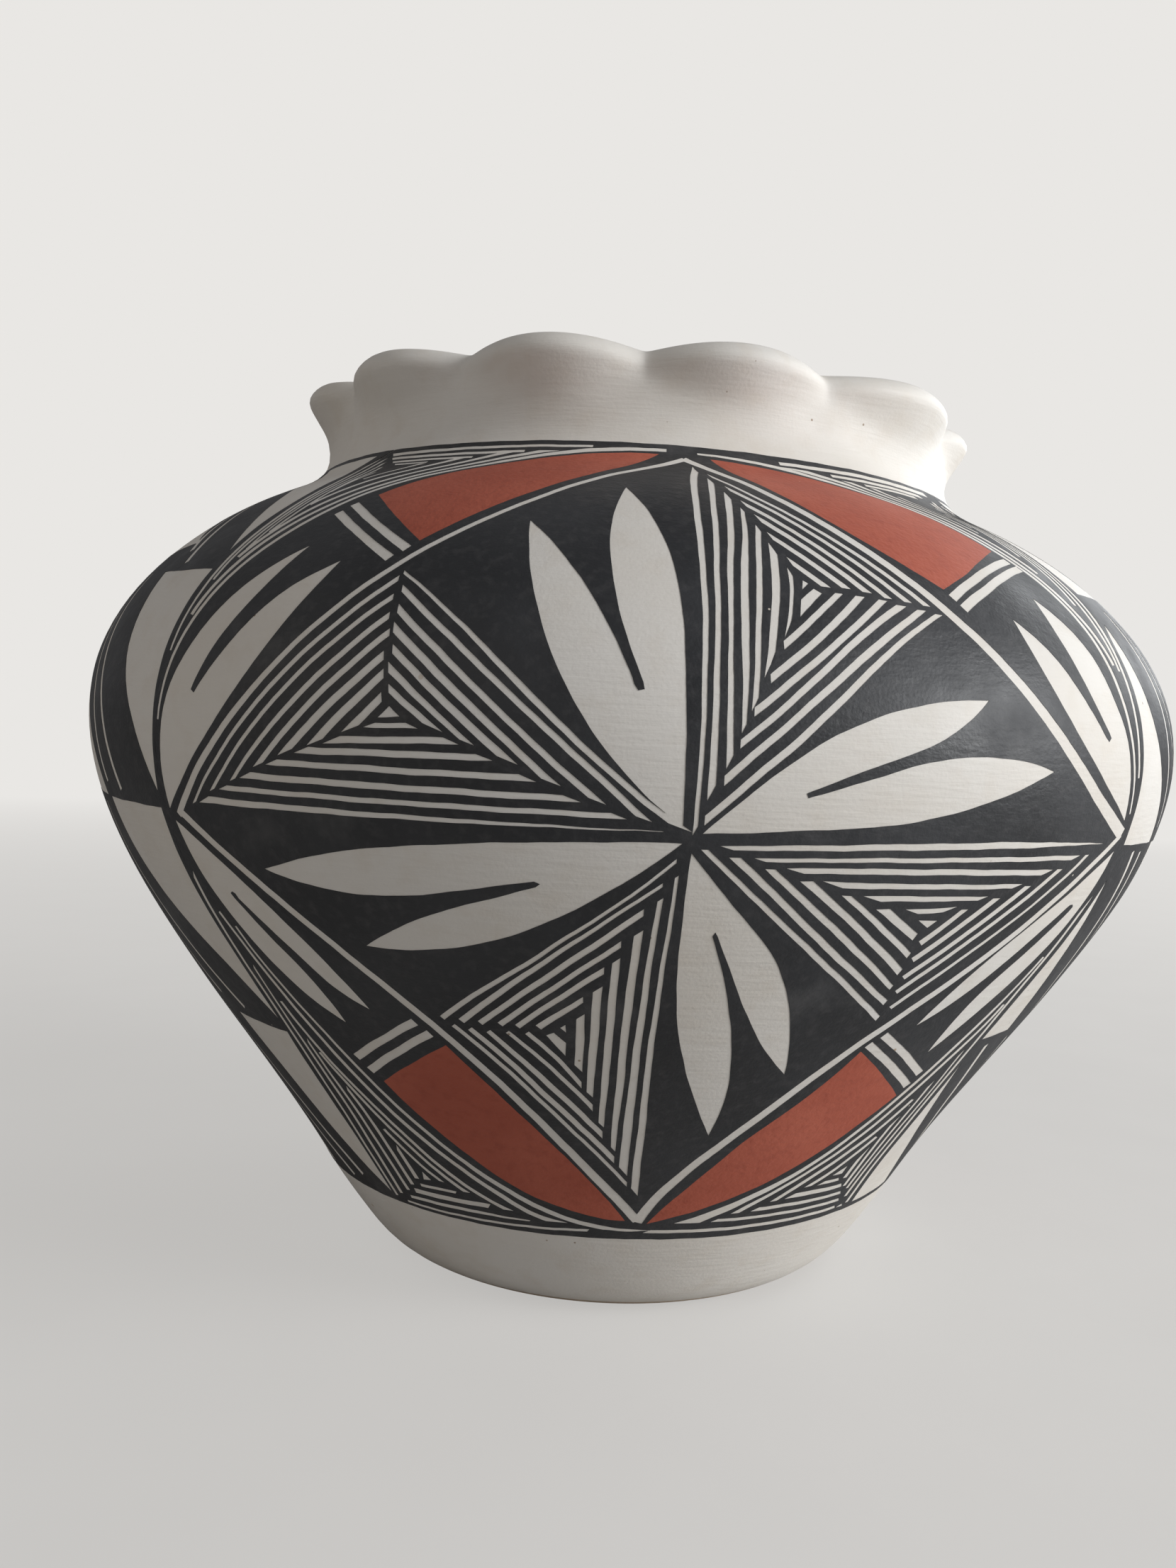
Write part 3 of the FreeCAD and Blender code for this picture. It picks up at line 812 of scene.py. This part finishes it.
panel_white += family(
    (None, None),
    ((0.8, 1.3, 1.4, 1.3), (49.8, 128.4), (49.4, 134), (49.1, 141), (49.3, 148), (50.6, 162),
     (50.7, 172), (50.6, 182), (51.7, 190.5), (53.4, 195.6)),
    ((1.1, 1.4, 1.3), (48.4, 146), (48.8, 154), (49.4, 164), (49.5, 174), (49.4, 183), (50.3, 191),
     (51.2, 194.6)),
    ((1.2, 1.4), (47.9, 159), (48.3, 168), (48.3, 177), (48.2, 185), (48.7, 191.6)),
    ((1.3, 1.4), (47, 171.6), (47.1, 180), (47, 188.4)),
    ((1.2, 1.2), (45.7, 181), (45.6, 187.4)),
)

# The four red fields, each between the diamond and a striped corner
panel_red = [
    shape([(-10, 61.7), (-2.2, 46.6), (2.8, 37)],
          [(0, 37.1), (-5, 38.8), (-10, 41.2), (-15, 45.2), (-20, 51.4), (-24, 57.6), (-27.8, 66)],
          [(-17.3, 77.4)]),
    shape([(22, 67.3), (16.7, 57.4), (13.3, 50), (9.7, 43.2), (6.1, 36.2)],
          [(10, 37.9), (14, 39.8), (18, 42.2), (22, 45), (26, 48.8), (30, 53.7), (33, 58.3),
           (36.7, 65.3)],
          [(26.4, 78.2)]),
    shape([(-13.6, 170.3), (-6, 182.6), (3.2, 195.9)],
          [(-5, 195.2), (-15, 191.2), (-22, 185), (-27.8, 175)],
          [(-18.6, 161.1)]),
    shape([(25, 161.7), (22.5, 166), (20, 171), (17.6, 176.8), (15, 184), (11.5, 192.6), (10.3, 195.5)],
          [(20, 194), (25, 192.4), (30, 189), (34, 184.9), (38, 177.8), (40.6, 170.9)],
          [(36, 166.6), (31.8, 162), (27.6, 157.6)]),
]

# The narrow column: four cells, each with a white corner at its lower left and upper right and two lines
# between them.
column_white = [
    shape([(60.5, 33.2)], [(56, 43), (50.4, 56.6), (46.9, 70.3)], [(47.4, 55), (47.1, 33.2)]),
    shape([(54.7, 76)], [(52.4, 92), (50.6, 110.6)], [(48.9, 96), (47.2, 76.1)]),
    shape([(61, 116.5)],
          [(59, 124), (56.1, 132), (53.8, 140.2), (52.6, 148), (52.1, 156)],
          [(51, 153.2), (50.4, 148.6), (50.3, 142), (50.6, 130), (50.8, 116.8)]),
    shape([(67.4, 164.4)],
          [(60.4, 174), (56.4, 184), (54.8, 194)],
          [(52.9, 187), (52, 178), (52.5, 163)]),
    shape([(78.6, 72.6)], [(79.1, 50), (80.8, 34)], [(74, 44.2), (69, 60), (65.9, 72.6)]),
    shape([(76.1, 116.3)],
          [(76.4, 104), (77.2, 92), (77.9, 84), (78.5, 75.4)],
          [(74.5, 84.6), (70.2, 92.5), (66.4, 100.6), (62.6, 116.4)]),
    shape([(78.3, 156.2)],
          [(77.9, 148), (77.2, 132), (76.8, 124), (76.3, 118.9)],
          [(73.2, 130), (70.5, 138), (68.7, 146), (66.8, 157)]),
    shape([(76.2, 197.6)],
          [(74.8, 194), (75.8, 189.6), (77.6, 184.4), (78.8, 178), (78.8, 168), (78.4, 160)],
          [(75.6, 171), (71.8, 180), (66, 187), (58.6, 197.6)]),
]
for line in (
    [(50.6, 73.6), (54.8, 59.6), (60.5, 46.5), (69, 33.6)],
    [(58.5, 73), (61.5, 62), (66, 48.5), (73.5, 35.5)],
    [(54.8, 115.4), (56.8, 103), (58.6, 88), (63, 76)],
    [(57.8, 115), (60, 102), (64, 88), (70, 75)],
    [(62.8, 119), (60.6, 131), (58, 150), (57.4, 160)],
    [(67.4, 118.2), (64.7, 130), (61.4, 145.3), (60, 158)],
    [(68.6, 162), (64, 172), (59.4, 184), (56.4, 195.5)],
    [(70.9, 158.6), (67.6, 171), (62.4, 183), (57.4, 195)],
):
    column_white.append(stroke(line, 1.4))


# The black and red paint
# Black is boiled beeweed and ground iron ore, red is iron clay. Both dry as a matt film thinner than paper,
# with thin spots, pinholes and grey rubs where hands have held the jar.

film_top, film_sink = 0.05, 0.03
panel_count = 3
panel_pitch = 360 / panel_count
# places inside a shape, so that its triangles follow the round wall, and how near two places count as one
grid_turn, grid_rise, grid_inset, same_place = 1.5, 2.5, 1.0, 1e-4
# the hand's shake: waves per degree, waves per mm, start, and size in mm, and how it differs up the wall
shakes = [(0.8, 0.27, 0.3, 0.035), (-0.5, 0.44, 1.9, 0.03), (1.6, -0.83, 4.1, 0.018),
          (2.4, 1.3, 2.6, 0.012)]
shake_pace, shake_start = 1.3, 0.8
# where the top and the underside of a film lie in its picture, and how wide its thin sides are in it
picture_left, picture_right = 0.01, 0.99
top_strip, under_strip = (0.13, 0.99), (0.01, 0.11)
side_strip = 0.0008

black_paint, tree, shader = finish("black mineral paint", 0.62, 0.5)
here = places(tree)
black = mixed(tree, ramp(tree, cloud(tree, here, 22), 0.35, 0.65), colour(35, 36, 39), colour(50, 51, 54))
black = mixed(tree, ramp(tree, cloud(tree, here, 1.6, 4), 0.5, 0.8, 0, 0.5), black, colour(74, 73, 74))
black = mixed(tree, ramp(tree, cloud(tree, here, 14, 6), 0.62, 0.78, 0, 0.35), black,
              colour(104, 103, 103))
black = mixed(tree, specks(tree, here, 6.5, 0.42, 0.22), black, colour(214, 204, 190))
tree.links.new(black, shader.inputs["Base Color"])
brushed = cloud(tree, places(tree, 3.0), 3.0, 4.0)
grit = cloud(tree, here, 0.5, 3.0)
rough_skin(tree, shader, join(tree, "ADD", brushed, ramp(tree, grit, 0, 1, 0, 0.5)), 0.1)
tree.links.new(ramp(tree, cloud(tree, here, 11, 4), 0.3, 0.7, 0.44, 0.62), shader.inputs["Roughness"])

red_paint, tree, shader = finish("red clay paint", 0.62, 0.45)
here = places(tree)
red = mixed(tree, ramp(tree, cloud(tree, here, 16), 0.3, 0.7), colour(186, 97, 75), colour(172, 84, 63))
red = mixed(tree, ramp(tree, cloud(tree, here, 2.0, 5), 0.5, 0.8, 0, 0.5), red, colour(152, 70, 52))
red = mixed(tree, specks(tree, here, 4.5, 0.4, 0.2), red, colour(208, 150, 126))
tree.links.new(red, shader.inputs["Base Color"])
rough_skin(tree, shader, cloud(tree, here, 0.8, 4.0), 0.1)


def shaken(spots):
    """The same places with the small shake of a hand that draws freehand."""
    turn, rise = spots.T
    sway = np.zeros_like(spots)
    for across, up, start, size in shakes:
        wave = across * turn + up * rise + start
        sway += np.stack([np.sin(wave) * size / mm_per_degree(rise),
                          np.cos(wave * shake_pace + shake_start) * size], 1)
    return spots + sway


def painted(edge_line, whites, reds, turned):
    """Cuts a part of the band into small triangles and tells which are black and which are red."""
    corners = []
    loops = []
    for outline in [edge_line, *whites, *reds]:
        outline = shaken(outline + np.array([turned, 0]))
        ahead = np.roll(outline, -1, 0)
        if (outline[:, 0] * ahead[:, 1] - ahead[:, 0] * outline[:, 1]).sum() < 0:
            outline = outline[::-1]
        # the first edge tells which side is inside, so it lies well away from the sharp ends
        outline = np.roll(outline, -(len(outline) // 4), 0)
        loops.append(list(range(len(corners), len(corners) + len(outline))))
        corners += outline.tolist()
    low, high = edge_line.min(0), edge_line.max(0)
    inner = [(turn + turned, rise) for turn in np.arange(low[0] + grid_inset, high[0], grid_turn)
             for rise in np.arange(low[1] + grid_inset, high[1], grid_rise)]
    scale = mm_per_degree(belly_height)
    flat = [Vector((turn * scale, rise)) for turn, rise in corners + inner]
    spots, _, faces, _, _, owners = delaunay_2d_cdt(flat, [], loops, 1, same_place, True)
    spots = np.array(spots) / (scale, 1)
    first_red = 1 + len(whites)
    black_faces = [face for face, held in zip(faces, owners) if held == [0]]
    red_faces = [face for face, held in zip(faces, owners)
                 if max(held, default=0) >= first_red and not any(0 < one < first_red for one in held)]
    return spots, black_faces, red_faces


def film(name, spots, faces, material):
    """A thin closed film of paint on the slip, over the triangles given."""
    used, faces = np.unique(np.array(faces), return_inverse=True)
    faces = faces.reshape(-1, 3)
    spots = spots[used]
    turn, rise = spots[:, 0], outline_rise(spots[:, 1])
    many = len(spots)
    sides = dict.fromkeys((a, b) for face in faces.tolist() for a, b in zip(face, face[1:] + face[:1]))
    rim = np.array([(b, a, a + many, b + many) for a, b in sides if (b, a) not in sides])
    corners = np.concatenate([wall(turn, rise, -film_top), wall(turn, rise, film_sink)])
    under_faces = faces[:, ::-1]
    all_faces = [*faces.tolist(), *(under_faces + many).tolist(), *rim.tolist()]
    piece = piece_of(name, corners, all_faces, material)
    mesh = piece.data
    top_way = outward(wall, turn, rise)
    flat_ways = np.zeros(len(mesh.polygons) * 3)
    mesh.polygons.foreach_get("normal", flat_ways)
    rim_ways = np.repeat(flat_ways.reshape(-1, 3)[-len(rim):], 4, 0)
    ways = np.concatenate([top_way[faces.ravel()], -top_way[under_faces.ravel()], rim_ways])
    mesh.normals_split_custom_set(ways)
    # unrolled for the bake: the top of the film above, its underside in a low strip
    right, up = ((spots - spots.min(0)) / np.ptp(spots, axis=0)).T
    across = picture_left + right * (picture_right - picture_left)
    top, under = (np.stack([across, foot + up * (head - foot)], 1)
                  for foot, head in (top_strip, under_strip))
    a, b = top[rim[:, 1]], top[rim[:, 0]]
    way = (b - a)[:, ::-1] * (1, -1)
    way *= side_strip / np.maximum(np.linalg.norm(way, axis=1), 1e-9)[:, None]
    thin = np.stack([b, a, a + way, b + way], 1)
    unrolled = np.concatenate([top[faces.ravel()], under[under_faces.ravel()], thin.reshape(-1, 2)])
    mesh.uv_layers.new(name="OFBake").data.foreach_set("uv", unrolled.ravel())
    return piece


star_edge = band(edge_places(left_edge), edge_places(right_edge))
column_edge = band(edge_places(right_edge), edge_places(left_edge, panel_pitch))
for number in range(panel_count):
    turned = number * panel_pitch
    spots, black_faces, red_faces = painted(star_edge, panel_white, panel_red, turned)
    film(f"black_paint_star_{number + 1}", spots, black_faces, black_paint)
    film(f"red_paint_star_{number + 1}", spots, red_faces, red_paint)
    spots, black_faces, _ = painted(column_edge, column_white, [], turned)
    film(f"black_paint_column_{number + 1}", spots, black_faces, black_paint)


# The pale floor, the soft light and the camera
# A plain pale floor that fades into the background, and three square lamps: a strong one from the right, a
# second behind it, and a weak warm one from the left. The lens of 29 mm is held at the belly's height.

pale = colour(233, 231, 228)
floor_radius, fade_start, fade_end, near_glow = 8.0, 0.2, 1.6, 0.6
sky_strength = 0.25
lamp_aim = Vector((0, 0, 0.09))
bpy.ops.mesh.primitive_circle_add(vertices=96, radius=floor_radius, fill_type="NGON", location=(0, 0, 0))
floor = bpy.context.object
floor.name = "floor"
floor_paper, tree, shader = finish("pale floor", 0.9, 0.1)
place = node(tree, "TexCoord", {}).outputs["Object"]
paper = mixed(tree, ramp(tree, cloud(tree, place, 1 / 30, 5.0), 0.3, 0.7),
              colour(178, 176, 173), colour(184, 182, 179))
tree.links.new(paper, shader.inputs["Base Color"])
out = node(tree, "VectorMath", {0: place}, operation="LENGTH").outputs["Value"]
far = ramp(tree, out, fade_start, fade_end, near_glow, 1.0)
seen = node(tree, "LightPath", {}).outputs["Is Camera Ray"]
glow = node(tree, "Emission", {"Color": pale, "Strength": 1.0}).outputs["Emission"]
faded = node(tree, "MixShader", {0: join(tree, "MULTIPLY", far, seen), 1: shader.outputs["BSDF"], 2: glow})
tree.links.new(faded.outputs["Shader"], tree.nodes["Material Output"].inputs["Surface"])
floor.data.materials.append(floor_paper)

world = bpy.data.worlds.new("studio")
bpy.context.scene.world = world
world.use_nodes = True
tree = world.node_tree
lit = tree.nodes["Background"]
lit.inputs["Color"].default_value = colour(238, 238, 240)
lit.inputs["Strength"].default_value = sky_strength
plain = node(tree, "Background", {"Color": pale, "Strength": 1.0})
path = node(tree, "LightPath", {})
clear = join(tree, "MAXIMUM", path.outputs["Is Camera Ray"], path.outputs["Is Transmission Ray"])
shown = node(tree, "MixShader", {0: clear, 1: lit.outputs["Background"], 2: plain.outputs["Background"]})
tree.links.new(shown.outputs["Shader"], tree.nodes["World Output"].inputs["Surface"])


def lamp(name, place, size, power, tint):
    """A square soft lamp that faces the jar."""
    light = bpy.data.lights.new(name, "AREA")
    light.size = size
    light.energy = power
    light.color = tint
    made = bpy.data.objects.new(name, light)
    made.location = place
    made.rotation_euler = (lamp_aim - Vector(place)).to_track_quat("-Z", "Y").to_euler()
    bpy.context.scene.collection.objects.link(made)


lamp("window_light", (1.2, -0.42, 0.46), 0.6, 16.5, (0.97, 0.985, 1.0))
lamp("far_window_light", (0.8, 0.7, 0.55), 0.6, 4.0, (0.95, 0.98, 1.0))
lamp("room_light", (-1.1, -0.8, 0.5), 1.0, 1.7, (1.0, 0.9, 0.78))

lens_mm = 29.3
camera_back, camera_up = 276.4, 104.3
yaw, pitch, roll = math.radians(1.58), math.radians(-2.01), math.radians(-2.15)
aim = Matrix.Rotation(yaw, 4, "Z") @ Matrix.Rotation(pitch, 4, "X") @ Matrix.Rotation(roll, 4, "Y")
camera_data = bpy.data.cameras.new("camera")
camera_data.lens = lens_mm
camera_data.clip_start = 0.01
camera = bpy.data.objects.new("camera", camera_data)
bpy.context.scene.collection.objects.link(camera)
camera.matrix_world = (Matrix.Translation((0, -camera_back * mm, camera_up * mm)) @ aim
                       @ Matrix.Rotation(math.radians(90), 4, "X"))
bpy.context.scene.camera = camera
bpy.context.scene.view_settings.view_transform = "Standard"
